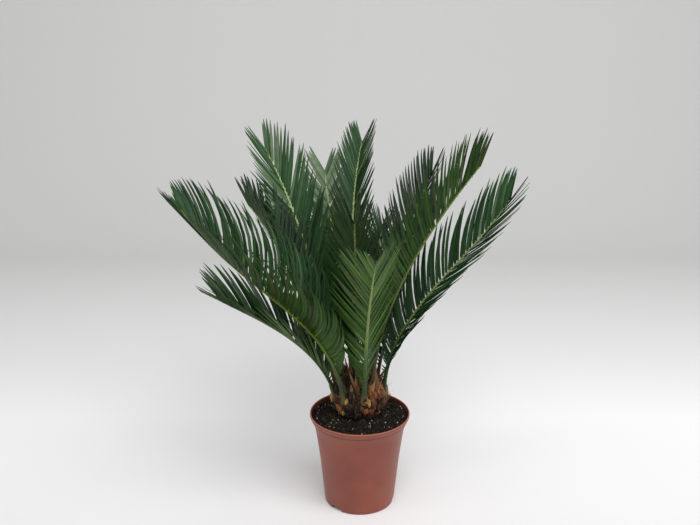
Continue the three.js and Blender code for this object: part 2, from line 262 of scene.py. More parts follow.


# One entry for each frond. foot is angle, radius and height where the stalk leaves the trunk,
# azimuth 0 points to the front and 90 to the right, lean is from upright at foot, middle and tip.
# Each tone is partly the frond's own shade and partly painted light: the dark tone of frond_front_tall
# is painted shade, and the high tone or rise of frond_rear_left, frond_rear_left_tall and
# frond_rear_tall is a painted sheen.
fronds = {
    "frond_right_low": dict(
        foot=(75, 42, 200), azimuth=93, turn=-2, lean=(0, 61, 31), length=390, leaflet=106,
        roll=42, twist=-4, curl=32, fold=36, tipFold=46, tipLoss=0.53, tone=0.42, broader=0.92,
        rib="green"),
    "frond_right_tall": dict(
        foot=(45, 28, 210), azimuth=70, turn=-3, lean=(3, 31, 36), length=428, leaflet=115,
        roll=5, rootAngle=58, tipAngle=21, curl=18, fold=45, tipFold=63, tipLoss=0.55,
        tone=0.42, paintedLightRise=-0.3, footGain=3.5, ageing=0.2, broader=0.78),
    "frond_left_low": dict(
        foot=(285, 43, 196), azimuth=287, turn=6, lean=(16, 62, 56), length=275, leaflet=127,
        roll=-40, twist=-17, rootAngle=36, tipAngle=30, curl=21, fold=65, tipFold=69,
        tipLoss=0.6, growth=0.1, tone=0.66, rib="green"),
    "frond_left_front": dict(
        foot=(322, 44, 200), azimuth=296, turn=-30, lean=(6, 74, 31), length=421, leaflet=130,
        roll=-25, twist=8, rootAngle=76, tipAngle=10, curl=49, fold=62, tipFold=10,
        tipLoss=0.8, growth=0.13, tone=0.5, paintedLightRise=-0.1, footGain=4.6, ageing=0.35,
        density=1.35, broader=0.92, rib="lime"),
    "frond_front_low": dict(
        foot=(9, 45, 203), azimuth=5, turn=-1, lean=(6, 35, 48), length=329, leaflet=90,
        roll=7, rootAngle=57, tipAngle=22, curl=8, tipFold=36, tipLoss=0.78, growth=0.11,
        bareShare=0.1, tone=0.7, rib="green"),
    "frond_rear_left_tall": dict(
        foot=(232, 32, 208), azimuth=226, lean=(22, 19, 40), length=426, leaflet=110,
        roll=-32, twist=11, rootAngle=37, tipAngle=22, curl=8, fold=25, tipFold=43,
        tipLoss=0.54, growth=0.11, tone=0.5, paintedLightRise=0.6, broader=1.1, rib="pale"),
    "frond_rear_tall": dict(
        foot=(190, 20, 216), azimuth=192, turn=-25, lean=(19, 39, 47), length=448, leaflet=95,
        roll=4, twist=-12, rootAngle=36, curl=8, fold=41, tipFold=37, tipLoss=0.43,
        growth=0.1, tone=0.38, paintedLightRise=0.25, rib="pale"),
    "frond_left_rear": dict(
        foot=(255, 40, 200), azimuth=246, lean=(20, 20, 44), length=345, leaflet=98, tone=0.24,
        broader=1.15, rib="pale"),
    "frond_rear_right_tall": dict(
        foot=(140, 30, 210), azimuth=145, turn=6, lean=(9, 44, 48), length=396, leaflet=98,
        tone=0.1),
    "frond_rear_left": dict(
        foot=(200, 36, 206), azimuth=197, turn=-10, lean=(18, 49, 55), length=420, leaflet=114,
        rootAngle=36, tipAngle=19, curl=10, fold=12, tipFold=10, tipLoss=0.38, growth=0.16,
        tone=0.7, paintedLightRise=0.5, broader=1.1, rib="pale"),
    "frond_front_tall": dict(
        foot=(350, 24, 214), azimuth=358, lean=(11, 34, 43), length=380, leaflet=96, roll=14,
        tone=0.1, ageing=0.15, rib="olive"),
    "frond_rear_right": dict(
        foot=(165, 38, 206), azimuth=170, turn=4, lean=(22, 62, 78), length=362, leaflet=98,
        tone=0.5, rib="pale"),
    "frond_rear_left_low": dict(
        foot=(225, 42, 200), azimuth=214, turn=-4, lean=(22, 60, 74), length=380, leaflet=98,
        rib="pale"),
    "frond_right_inner": dict(
        foot=(105, 30, 210), azimuth=118, turn=4, lean=(8, 26, 36), length=320, leaflet=92,
        tone=0.22),
}

# What a frond has unless its own entry says otherwise.
frondHabit = dict(
    turn=0, roll=0, twist=0,          # how far the azimuth turns up the rib, and the blade's tilt
    rootAngle=50, tipAngle=24, fullAngle=66, angleFall=3,   # of leaflets to the rib
    curl=24, fold=42, tipFold=58, foldRise=4,
    bareShare=0.12,                   # of the rib below its leaflets
    shortestShare=0.2, growth=0.18, tipLoss=0.45, tipLossFall=8,   # lengths along the frond
    footGain=3.0, rib="brown",        # the rib's extra radius at its foot, and its colours
    density=1.0, broader=1.0,
    # tone is partly the leaflets' own shade and partly painted shade or sheen; the rise is painted
    # light towards the tip, and painted shade where it is below zero
    tone=0.35, paintedLightRise=0.15,         # how light the leaflets are, and how much more at the tip
    ageing=0.12,                      # share of them that turn brownish below
)

leafletShape = dict(
    spacing=6.4,                      # along the rib, on average
    crowding=1.22,                    # above one, they stand closer towards the foot
    width=5.5, thickness=0.5,
    narrowTo=0.25, narrowPower=0.22, narrowest=0.02,   # they are narrower near the foot
    rootWidth=0.6, rootStretch=0.1, rootPower=0.7,     # how a blade widens from the rib on
    taper=(3.6, 0.8),                 # powers that close the width to the tip
    sunk=1.4,                         # depth of the root in the rib
    stations=(0.0, 0.08, 0.3, 0.52, 0.7, 0.84, 0.94),
    # six corners across a blade: edge, face, groove, face, edge and the keel below; each has
    # its place across and its sag in widths, and its depth in thicknesses
    section=[(0.5, 0.08, 0.0), (0.27, -0.02, -0.4), (0.0, 0.02, -0.4), (-0.27, -0.02, -0.4),
             (-0.5, 0.08, 0.0), (0.0, 0.07, 0.6)],
    tufts=(2, 6), tuftPull=0.22, mostPull=0.2,         # neighbours whose tips draw together
    tuftAngle=0.7, tuftFold=1.6,
    leastAngle=8, curls=(6, 60), lastKept=6,
    angleSpread=1.0, foldSpread=2.0, curlSpread=2.5, lengthSpread=0.045, placeSpread=0.1,
    rollSpread=8.0, toneSpread=0.13, missing=0.015,
)

thornShape = dict(
    pairs=4, places=(0.35, 0.9), placeSpread=0.04,     # shares of the bare stalk
    lengths=(5, 15), angle=60, curl=12, width=0.5, outward=0.8, upward=0.6,
)

ribShape = dict(
    steps=60, rings=44, ringCrowding=1.25, sides=10,
    tipRadius=0.8, tipReach=2, taper=1.2, footSwelling=2.0, swellingShare=0.04,
    flatness=0.82, channel=0.35, sunk=9,
)


def ribFrame(frond, t):
    # lean(t) = foot (1-t)^2 + 2 middle t (1-t) + tip t^2, azimuth and roll grow evenly with t;
    # along points up the rib, across out of its side and upper out of its upper face
    foot, middle, tip = frond["lean"]
    lean = np.radians(foot * (1 - t) ** 2 + 2 * middle * t * (1 - t) + tip * t ** 2)
    azimuth = np.radians(frond["azimuth"] + frond["turn"] * t)
    roll = np.radians(frond["roll"] + frond["twist"] * t)[..., None]
    along = np.stack([np.sin(lean) * np.sin(azimuth), -np.sin(lean) * np.cos(azimuth),
                      np.cos(lean)], -1)
    level = np.stack([np.cos(azimuth), np.sin(azimuth), 0 * azimuth], -1)
    across = turned(level, np.cross(along, level), roll)[0]
    return along, across, np.cross(along, across)


def ribPoints(frond):
    # steps of equal length, each along the direction half way between two points
    steps = ribShape["steps"]
    along = ribFrame(frond, (np.arange(steps) + 0.5) / steps)[0]
    travelled = np.cumsum(along * frond["length"] / steps, 0)
    return around(*frond["foot"]) + trunkCentre + np.vstack([np.zeros(3), travelled])


def pointAt(path, t):
    # the point at the share t of the path, evenly between its two nearest points
    place = np.clip(t, 0, 1) * (len(path) - 1)
    step = np.minimum(place.astype(int), len(path) - 2)
    share = (place - step)[..., None]
    return path[step] * (1 - share) + path[step + 1] * share


def ribRadius(frond, t):
    # tipRadius + footGain (1-t)^taper + footSwelling exp(-t / swellingShare)
    swelling = ribShape["footSwelling"] * np.exp(-t / ribShape["swellingShare"])
    return ribShape["tipRadius"] + frond["footGain"] * (1 - t) ** ribShape["taper"] + swelling


def ribSurface(frond, path):
    # a ring of sides carried along the rib: across * r cos a + upper * r flatness sin a, where
    # the upper half is lowered in the middle to a channel; the foot goes on into the trunk
    rings, sides = ribShape["rings"], ribShape["sides"]
    t = np.linspace(0, 1, rings) ** ribShape["ringCrowding"]
    along, across, upper = ribFrame(frond, t)
    centre = pointAt(path, t)
    centre = np.vstack([centre[:1] - along[:1] * ribShape["sunk"], centre])
    t = np.concatenate([[0], t])
    across, upper = (np.vstack([v[:1], v]) for v in (across, upper))
    angle = circle(sides)
    lowered = 1 - ribShape["channel"] * np.clip(np.sin(angle), 0, 1) ** 2
    ring = (across[:, None] * np.cos(angle)[:, None]
            + upper[:, None] * (np.sin(angle) * lowered * ribShape["flatness"])[:, None])
    points = (centre[:, None] + ring * ribRadius(frond, t)[:, None, None]).reshape(-1, 3)
    tip = centre[-1] + along[-1] * ribShape["tipRadius"] * ribShape["tipReach"]
    uv = np.stack(np.broadcast_arrays(t[:, None], 0.5 + 0.5 * np.cos(angle)), -1).reshape(-1, 2)
    return dict(points=np.vstack([points, centre[:1], tip]), faces=closedTube(rings + 1, sides),
                uv=np.vstack([uv, [[0, 0.5], [1, 0.5]]]))


def leafletPlaces(frond, draw):
    # shares along the leafy stretch, sides by turns: the i-th stands at (i / last)^crowding
    leafy = frond["length"] * (1 - frond["bareShare"])
    perSide = round(leafy / (leafletShape["spacing"] / frond["density"]))
    number = np.arange(2 * perSide)
    u = (number / number[-1]) ** leafletShape["crowding"]
    side = np.where(number % 2 == 1, 1.0, -1.0)
    u = u + draw.normal(size=len(u)) * leafletShape["placeSpread"] / perSide
    kept = draw.uniform(size=len(u)) > leafletShape["missing"]
    kept[-leafletShape["lastKept"]:] = True
    return np.clip(u, 0, 1)[kept], side[kept]


def tuftsOf(u, side, draw):
    # neighbours on a side fall into tufts: for each leaflet how far along the leafy stretch it
    # stands from its tuft's middle, and the tuft's own random lean and fold
    apart, lean, fold = np.zeros((3, len(u)))
    for row in (-1, 1):
        mine = np.flatnonzero(side == row)
        cuts = np.cumsum(draw.integers(*leafletShape["tufts"], size=len(mine)))
        tuft = np.searchsorted(cuts, np.arange(len(mine)), "right")
        middle = np.bincount(tuft, u[mine]) / np.maximum(np.bincount(tuft), 1)
        apart[mine] = u[mine] - middle[tuft]
        lean[mine] = draw.normal(size=tuft.max() + 1)[tuft]
        fold[mine] = draw.normal(size=tuft.max() + 1)[tuft]
    return apart, lean, fold


def leafletCurves(frond, draw):
    # each leaflet is an arc in the plane of along and away: it leaves the rib at the root angle
    # and turns towards the rib's direction by curl; away is folded up from the frond's plane;
    # in a tuft the leaflets turn towards its middle so that their tips draw together
    u, side = leafletPlaces(frond, draw)
    spread = draw.normal(size=(5, len(u)))
    apart, tuftLean, tuftFold = tuftsOf(u, side, draw)
    leafy = 1 - frond["bareShare"]
    t = frond["bareShare"] + leafy * u
    along, across, upper = ribFrame(frond, t)
    growing = 1 - (1 - frond["shortestShare"]) * np.exp(-u / frond["growth"])
    falling = 1 - frond["tipLoss"] * u ** frond["tipLossFall"]
    length = frond["leaflet"] * growing * falling * (1 + leafletShape["lengthSpread"] * spread[3])
    fold = frond["fold"] + (frond["tipFold"] - frond["fold"]) * u ** frond["foldRise"]
    fold = fold + leafletShape["foldSpread"] * spread[0] + leafletShape["tuftFold"] * tuftFold
    fold = np.radians(fold)[:, None]
    away = side[:, None] * np.cos(fold) * across + np.sin(fold) * upper
    closing = (frond["tipAngle"] - frond["rootAngle"]) * u ** frond["angleFall"]
    rootAngle = frond["rootAngle"] + closing
    pulled = np.sin(np.radians(rootAngle)) * apart * frond["length"] * leafy / length
    pulled = np.clip(leafletShape["tuftPull"] * pulled, *leafletShape["mostPull"] * np.array([-1, 1]))
    lean = leafletShape["angleSpread"] * spread[1] + leafletShape["tuftAngle"] * tuftLean
    start = np.radians(np.maximum(rootAngle + lean, leafletShape["leastAngle"])) + pulled
    curl = (frond["curl"] + leafletShape["curlSpread"] * spread[2]).clip(*leafletShape["curls"])
    curl = np.radians(curl * rootAngle / frond["fullAngle"])
    narrowing = (u / leafletShape["narrowTo"]).clip(leafletShape["narrowest"], 1)
    wide = frond["broader"] * narrowing ** leafletShape["narrowPower"]
    return t, side, along, away, start, curl, length, spread[4], wide


def thornCurves(frond, draw):
    # small stiff leaflets in pairs on the bare stalk, longer by the square of their place
    side = np.tile([-1.0, 1.0], thornShape["pairs"])
    share = np.repeat(np.linspace(*thornShape["places"], thornShape["pairs"]), 2)
    share = share + draw.normal(size=len(side)) * thornShape["placeSpread"]
    t = frond["bareShare"] * share
    along, across, upper = ribFrame(frond, t)
    away = side[:, None] * across * thornShape["outward"] + upper * thornShape["upward"]
    shortest, longest = thornShape["lengths"]
    length = shortest + (longest - shortest) * share ** 2
    start, curl, spin, wide = (np.full(len(side), value) for value in (
        np.radians(thornShape["angle"]), np.radians(thornShape["curl"]), 0, thornShape["width"]))
    return t, side, along, away, start, curl, length, spin, wide


def bladeWidths(share):
    # widening from the root's share to the full width, times (1 - share^power)^closing
    rootWidth, (power, closing) = leafletShape["rootWidth"], leafletShape["taper"]
    widening = np.clip(share / leafletShape["rootStretch"], 0, 1) ** leafletShape["rootPower"]
    widening = rootWidth + (1 - rootWidth) * widening
    return leafletShape["width"] * widening * (1 - share ** power) ** closing


def leafletSurfaces(frond, path, draw):
    # each arc's points are rib + along l/c (sin s - sin a) + away l/c (cos a - cos s), where a
    # goes from the start s by the curl c; at each station stands a ring of the section's corners
    curves = leafletCurves(frond, draw)
    t, side, along, away, start, curl, length, spin, wide = (
        np.concatenate(both) for both in zip(thornCurves(frond, draw), curves))
    start, curl, length, along, away = (v[:, None] for v in (start, curl, length, along, away))
    h = np.array([*leafletShape["stations"], 1.0])
    h = h - leafletShape["sunk"] / length * (1 - h)
    angle = start - curl * h
    forward = ((np.sin(start) - np.sin(angle)) * length / curl)[..., None]
    outward = ((np.cos(angle) - np.cos(start)) * length / curl)[..., None]
    centre = pointAt(path, t)[:, None] + forward * along + outward * away
    heading = np.cos(angle)[..., None] * along + np.sin(angle)[..., None] * away
    under = np.broadcast_to(side[:, None, None] * np.cross(away, along), centre.shape)
    turn = np.radians(leafletShape["rollSpread"] * spin)[:, None, None]
    broad, under = turned(np.cross(heading, under), under, turn)

    share = np.array(leafletShape["stations"])
    width = bladeWidths(share)[None, :, None, None] * wide[:, None, None, None]
    x, sag, depth = np.array(leafletShape["section"]).T[..., None]
    ring = (broad[:, :-1, None] * (x * width)
            + under[:, :-1, None] * (sag * width + depth * leafletShape["thickness"]))
    leaves, rows, sides = len(t), len(share), len(x)
    each = rows * sides + 1
    points = (centre[:, :-1, None] + ring).reshape(leaves, -1, 3)
    root = np.array([[5, 2, 1, 0], [5, 4, 3, 2]])
    faces = [gridFaces(rows, sides), fan((rows - 1) * sides, sides, each - 1), root]
    below = np.arange(sides) >= sides - 2
    uv = np.stack([np.append(np.repeat(share, sides), 1.0),
                   np.append(np.tile(0.5 + x[:, 0], rows), 0.5)], -1)
    fromMiddle = (t - frond["bareShare"]) / (1 - frond["bareShare"]) - 0.5
    # the frond's tone, partly painted shade or sheen, with painted light that grows towards the tip
    tone = frond["tone"] + frond["paintedLightRise"] * fromMiddle
    tone = tone + draw.normal(0, leafletShape["toneSpread"], leaves)
    aged = draw.uniform(size=leaves) < frond["ageing"]
    return dict(points=np.concatenate([points, centre[:, -1:]], 1).reshape(-1, 3),
                faces=repeated(faces, leaves, each),
                faceMaterial=np.append(np.tile(below, rows * leaves), np.ones(2 * leaves)),
                uv=np.tile(uv, (leaves, 1)), tint=np.repeat(np.clip(tone, 0, 1), each),
                aged=np.repeat(aged, each))


# Screen colours at tints from dark to light, of which the lightest upper one is a painted sheen, and
# greys that multiply them.
leafFinish = dict(
    upper=[(0.0, (8, 28, 8)), (0.35, (21, 51, 21)), (0.65, (46, 78, 43)), (1.0, (114, 132, 104))],
    upperRoot=(196, 206, 150), upperRoughness=0.34, upperShine=0.22,
    under=[(0.0, (22, 46, 8)), (0.35, (42, 70, 22)), (0.65, (58, 88, 35)), (1.0, (92, 120, 64))],
    underRoot=(112, 134, 62), underRoughness=0.5, underShine=0.12,
    aged=(68, 70, 44), agedShare=0.6, tip=(70, 74, 38),
    blotchScale=55.0, blotches=[(0.3, 0.8), (0.7, 1.15)],
    # a pale midrib, then painted shade that darkens each leaflet towards its edges
    midribAndEdgeShade=[(0.0, 1.35), (0.07, 1.05), (0.3, 1.0), (0.5, 0.55)],
    rootward=[(0.0, 1.0), (0.055, 0.0)], tipward=[(0.93, 0.0), (1.0, 0.8)],
    lines=9.0, lineStrength=0.25, lineDepth=0.00006,
)


def leafMaterial(side):
    # the tint picks the base colour, up to a painted sheen, with a pale midrib and painted shade
    # towards the edges; pale at the root and dull at the tip; below, aged leaflets mix in a brownish
    # one
    material = newMaterial("leaf_" + side)
    place = placeOn(material, "UVMap", uv_map="across")
    body = ramp(material, markOf(material, "tint"), leafFinish[side])
    if side == "under":
        share = calculated(material, "MULTIPLY", markOf(material, "aged"), leafFinish["agedShare"])
        body = mixed(material, share, body, colourOf(leafFinish["aged"]))
    blotch = noiseOf(material, leafFinish["blotchScale"])
    body = shaded(material, body, blotch, leafFinish["blotches"])
    offset = calculated(material, "SUBTRACT", place["Y"], 0.5)
    body = shaded(material, body, calculated(material, "ABSOLUTE", offset), leafFinish["midribAndEdgeShade"])
    for end, colour in (("rootward", side + "Root"), ("tipward", "tip")):
        share = ramp(material, place["X"], leafFinish[end])
        body = mixed(material, share, body, colourOf(leafFinish[colour]))
    turn = calculated(material, "MULTIPLY", place["Y"], 2 * np.pi * leafFinish["lines"])
    lines = calculated(material, "SINE", turn)
    setShader(material, Base_Color=body, Roughness=leafFinish[side + "Roughness"],
              Specular_IOR_Level=leafFinish[side + "Shine"],
              Normal=bumpOf(material, lines, leafFinish["lineStrength"], leafFinish["lineDepth"]))
    return material


# Screen colours of the ribs at shares of their length from the foot up.
ribFinish = dict(
    pale=[(0.0, (96, 78, 44)), (0.04, (62, 88, 44)), (0.14, (84, 112, 56)),
          (0.35, (152, 172, 96)), (1.0, (158, 178, 100))],
    green=[(0.0, (92, 76, 38)), (0.04, (38, 62, 32)), (0.2, (56, 84, 38)),
           (0.45, (116, 136, 70)), (1.0, (148, 164, 94))],
    lime=[(0.0, (88, 72, 36)), (0.04, (34, 58, 34)), (0.15, (60, 86, 36)),
          (0.4, (112, 132, 40)), (1.0, (110, 130, 48))],
    olive=[(0.0, (74, 60, 34)), (0.1, (70, 84, 36)), (0.4, (112, 122, 48)),
           (1.0, (112, 122, 50))],
    brown=[(0.0, (52, 38, 26)), (0.06, (60, 52, 34)), (0.25, (62, 70, 42)),
           (0.45, (92, 108, 50)), (1.0, (124, 142, 70))],
)
ribGrain = dict(scale=260.0, detail=4.0, roughness=0.6)


def ribMaterial(name):
    # the colour goes through the stops from the foot to the tip, with a fine grain
    material = newMaterial("rib_" + name)
    place = placeOn(material, "UVMap", uv_map="across")
    grain = noiseOf(material, **ribGrain)
    body = ramp(material, place["X"], ribFinish[name])
    body = shaded(material, body, grain, [(0.3, 0.75), (0.7, 1.2)])
    setShader(material, Base_Color=body, Roughness=0.5, Specular_IOR_Level=0.3,
              Normal=bumpOf(material, grain, 0.4, 0.0004))
    return material


leafSides = [leafMaterial("upper"), leafMaterial("under")]
ribColours = {name: ribMaterial(name) for name in ribFinish}

for number, (name, own) in enumerate(fronds.items()):
    frond = {**frondHabit, **own}
    path = ribPoints(frond)
    draw = np.random.default_rng(100 + number)
    leaflets = leafletSurfaces(frond, path, draw)
    finishPiece(meshPiece("leaflets_" + name, leafSides, sharp=50, **leaflets), "frond", name)
    rib = ribSurface(frond, path)
    finishPiece(meshPiece("rib_" + name, [ribColours[frond["rib"]]], **rib), "frond", name)
print("fronds grown:", len(fronds))


trunk = dict(
    ground=160.3,                     # height of the soil at the trunk
    # radius and height above the soil
    profile=[(31, -3), (33, 0), (38, 6), (42.5, 16), (45, 29), (43.5, 43), (37, 55), (25, 62), (0, 65)],
    rings=70, columns=160, smoothing=5, tint=0.3,
    # heights, sizes and seeds of the skin's relief, which fades within this radius
    relief=[(2.2, 5, 7), (1.32, 2.2, 8)], fadeRadius=12,
    top=61,                           # the height up to which pieces stand on the skin
)

stubs = dict(
    count=50, heights=(1, 58), width=16, length=33, depth=8, rootShare=0.4, sunk=0.34,
    tilt=7, lift=0.03, blunt=0.3, angleSpread=7, heightSpread=2,
    tiltSpread=5, twistSpread=9, lengthSpread=0.22, widthSpread=0.2, widthLimits=(0.5, 1.5),
)

scales = dict(
    count=84, firstAngle=40, circle=(10, 40), feet=(60, 42), lengths=(16, 46),
    width=6.8, widths=(0.55, 1.5), depth=0.5, lift=0.06, liftSpread=0.06,
    splay=15, splaySpread=6, twistSpread=12,
)

tongue = dict(
    stations=(0, 0.2, 0.45, 0.7, 0.9, 1.0), sides=8,
    closing=2.2, narrowest=0.02, bluntLoss=0.45, back=0.45, thinnest=0.35,
    ragged=0.05, raggedEnd=0.07, dish=0.06,
)

swollen = dict(
    rings=8, sides=12, fullness=0.8, topHeavy=0.25, depth=0.55, out=0.05, twistSpread=7,
    relief=[(0.8, 6, 21), (0.5, 2.5, 22)],
    # swollen feet of old stalks: angle, height above the soil, width, length, depth, tone
    places=[
        (-84, 30, 13, 24, 9, 0.95), (-78, 43, 8, 15, 7, 0.7), (-52, 17, 16, 20, 8, 0.6),
        (-44, 10, 9, 12, 7, 0.85), (-60, 33, 10, 20, 7, 0.25), (-31, 36, 9, 15, 7, 0.82),
        (-16, 63, 9, 20, 9, 0.55), (-8, 58, 8, 16, 8, 0.4), (31, 56, 9, 15, 9, 0.66),
        (24, 50, 8, 13, 9, 0.52), (36, 46, 9, 14, 8, 0.56), (27, 41, 10, 15, 8, 0.44),
        (11, 43, 10, 16, 8, 0.78), (19, 34, 7, 15, 8, 0.86), (30, 30, 11, 18, 8, 0.34),
        (13, 19, 10, 14, 8, 0.5), (24, 16, 11, 15, 8, 0.42), (3, 24, 8, 14, 7, 0.3),
        (56, 36, 10, 32, 8, 0.36), (64, 48, 8, 28, 7, 0.62), (48, 50, 7, 26, 7, 0.5),
        (44, 22, 12, 22, 8, 0.2), (-5, 10, 12, 16, 8, 0.14), (-22, 22, 12, 24, 8, 0.12),
        (84, 40, 10, 26, 8, 0.6), (120, 34, 12, 22, 9, 0.6), (146, 20, 11, 18, 8, 0.45),
        (160, 44, 11, 22, 9, 0.4), (200, 28, 12, 22, 9, 0.7), (226, 45, 9, 18, 8, 0.5),
        (240, 36, 11, 20, 9, 0.55), (262, 22, 12, 22, 9, 0.3),
    ],
)

fibres = dict(
    count=300, steps=6, sides=3, heights=(2, 62), out=1.5, lengths=(7, 24),
    radius=0.26, radii=(0.6, 1.4), lean=0.25, outBend=0.35, sideLean=0.3, sideBend=0.5,
    thick=1.1,                        # radii at the foot, and one less at the tip
)

hooks = dict(
    places=[(-29, 66, 20), (18, 30, 22), (-44, 52, 14)],   # angle, height and length
    steps=10, sides=5, out=4.0, radius=0.75, thick=1.15, bend=2.1, lean=0.3, tint=0.95,
)


def trunkRadius(height):
    # the profile's radius at a height above the soil
    radii, heights = np.array(trunk["profile"], float).T
    return np.interp(height, heights, radii)


def trunkSurface():
    # the smoothed profile turned about the trunk's axis: r = profile (1 + relief / profile),
    # less near the top; the rings close in a point above and below
    rings, columns = trunk["rings"], trunk["columns"]
    rows = np.array(trunk["profile"], float)
    measure = np.append(0, np.cumsum(np.hypot(*np.diff(rows, axis=0).T)))
    share = np.linspace(0, 1, rings) * measure[-1]
    kernel = np.ones(trunk["smoothing"]) / trunk["smoothing"]
    ends = len(kernel) // 2
    radius, level = (np.interp(share, measure, row) for row in rows.T)
    for row in (radius, level):
        row[ends:-ends] = np.convolve(row, kernel, "valid")
    angle = 360 * np.arange(columns) / columns
    radius, level = radius[:-1, None], level[:-1, None] + trunk["ground"]
    rough = relief(around(angle, radius, level), *trunk["relief"])
    swell = 1 + rough / np.maximum(radius, trunk["fadeRadius"])
    points = around(angle, radius * swell, level).reshape(-1, 3)
    poles = [[0, 0, trunk["ground"] + rows[end, 1]] for end in (0, -1)]
    points = np.vstack([points, poles]) + trunkCentre
    return dict(points=points, faces=closedTube(rings - 1, columns),
                tint=np.full(len(points), trunk["tint"]))


def onTrunk(angle, height, sunk):
    # points on the trunk's skin, and the ways out of it and up along it
    radius = trunkRadius(height)
    slope = (trunkRadius(height + 1) - trunkRadius(height - 1)) / 2
    skin = around(angle, radius - sunk, height + trunk["ground"]) + trunkCentre
    outward = unit(around(angle, np.ones_like(radius), -slope))
    sideways = around(angle + 90, np.ones_like(radius), 0)
    return skin, outward, unit(np.cross(outward, sideways))


def twisted(up, out, spread, draw):
    # the way up, turned at random about the way out
    turn = np.radians(spread * draw.normal(size=len(up)))[:, None]
    return turned(up, np.cross(up, out), turn)[0]


def tongues(foot, out, up, length, width, depth, lift, blunt, draw):
    # a scale for each foot, rings round the line foot + l (up h + out lift h^2), flatter behind
    # than in front; their width goes as (1 - blunt) (1 - h^closing) + blunt (1 - bluntLoss h^2),
    # and blunt ones end in a ragged, dished cut with its own material
    count, sides = len(foot), tongue["sides"]
    h = np.array(tongue["stations"])
    length, width, depth, lift = (v[:, None, None] for v in (length, width, depth, lift))
    ragged = 1 + draw.normal(size=(count, len(h), sides)) * tongue["ragged"]
    ending = draw.normal(size=(count, 1, sides)) * tongue["raggedEnd"] * blunt * length
    rise = h[:, None]
    centre = foot[:, None] + up[:, None] * length * rise + out[:, None] * length * lift * rise ** 2
    narrowing = np.maximum(1 - rise ** tongue["closing"], tongue["narrowest"]) * (1 - blunt)
    narrowing = narrowing + blunt * (1 - tongue["bluntLoss"] * rise ** 2)
    angle = circle(sides)
    keel = np.sin(angle) * np.where(np.sin(angle) > 0, 1, tongue["back"])
    across = np.cos(angle) * width / 2 * narrowing * ragged
    thinning = tongue["thinnest"] + (1 - tongue["thinnest"]) * narrowing
    forward = keel * depth / 2 * thinning * ragged
    end = (rise == 1) * ending
    side, out, onward = (v[:, None, None] for v in (np.cross(out, up), out, up))
    points = (centre[:, :, None] + side * across[..., None] + out * forward[..., None]
              + onward * end[..., None]).reshape(count, -1, 3)
    dish = centre[:, -1:] - up[:, None] * tongue["dish"] * blunt * length
    points = np.concatenate([points, dish], 1)
    each = points.shape[1]
    root = np.array([[7, 6, 5, 4], [7, 4, 3, 0], [3, 2, 1, 0]])
    parts = [gridFaces(len(h), sides), fan((len(h) - 1) * sides, sides, each - 1), root]
    faces = repeated(parts, count, each)
    cut = np.repeat([0, blunt > 0, 0], [len(part) for part in faces])
    return dict(points=points.reshape(-1, 3), faces=faces, faceMaterial=cut,
                tint=np.repeat(draw.uniform(size=count), each))


def leafBases(draw):
    # stubs of shed fronds in a golden-angle spiral, each leaning a little out of the skin
    count, tall = stubs["count"], stubs["length"]
    order = (np.arange(count) + 0.5) / count
    angle = np.arange(count) * goldenAngle + stubs["angleSpread"] * draw.normal(size=count)
    height = np.interp(order, (0, 1), stubs["heights"])
    height = height + stubs["heightSpread"] * draw.normal(size=count)
    vary = draw.normal(size=(4, count))
    foot, out, up = onTrunk(angle, height.clip(0, trunk["top"] - 1), stubs["sunk"] * stubs["depth"])
    tilt = np.radians(stubs["tilt"] + stubs["tiltSpread"] * vary[0])[:, None]
    up, out = turned(up, out, tilt)
    turn = np.radians(stubs["twistSpread"] * vary[3])[:, None]
    up = turned(up, np.cross(up, out), turn)[0]
    foot = foot - up * tall * stubs["rootShare"]
    length = tall * (1 + stubs["lengthSpread"] * vary[1])
    width = stubs["width"] * (1 + stubs["widthSpread"] * vary[2]).clip(*stubs["widthLimits"])
    depth, lift = (np.full(count, stubs[key]) for key in ("depth", "lift"))
    return tongues(foot, out, up, length, width, depth, lift, stubs["blunt"], draw)


def swellings(draw):
    # plump stubs at chosen places, each an egg: middle + side w/2 f cos(a) (1 + topHeavy h)
    # + out depth d f sin(a) + up l/2 h, where f = sin(b)^fullness and h = -cos(b), and then
    # roughened along out by relief
    angle, height, width, tall, deep, tone = np.array(swollen["places"], float).T
    middle, out, up = onTrunk(angle, height.clip(0, trunk["top"]), -swollen["out"] * deep)
    up = twisted(up, out, swollen["twistSpread"], draw)
    rings, sides = swollen["rings"], swollen["sides"]
    b = np.pi * np.arange(1, rings + 1)[:, None] / (rings + 1)
    a = circle(sides)
    full, h = np.sin(b) ** swollen["fullness"], -np.cos(b)
    width, tall, deep = (v[:, None, None] for v in (width, tall, deep))
    across = width / 2 * full * (1 + swollen["topHeavy"] * h) * np.cos(a)
    forward = swollen["depth"] * deep * full * np.sin(a)
    rise = tall / 2 * h * np.ones(sides)
    side, out, onward = (v[:, None, None] for v in (np.cross(out, up), out, up))
    points = (middle[:, None, None] + side * across[..., None] + out * forward[..., None]
              + onward * rise[..., None])
    count, each = len(middle), rings * sides + 2
    poles = middle[:, None] + up[:, None] * tall / 2 * np.array([[-1], [1]])
    points = np.concatenate([points.reshape(count, -1, 3), poles], 1)
    points = points + out[:, 0] * relief(points, *swollen["relief"])[..., None]
    return dict(points=points.reshape(-1, 3), tint=np.repeat(tone, each),
                faces=repeated(closedTube(rings, sides), count, each))


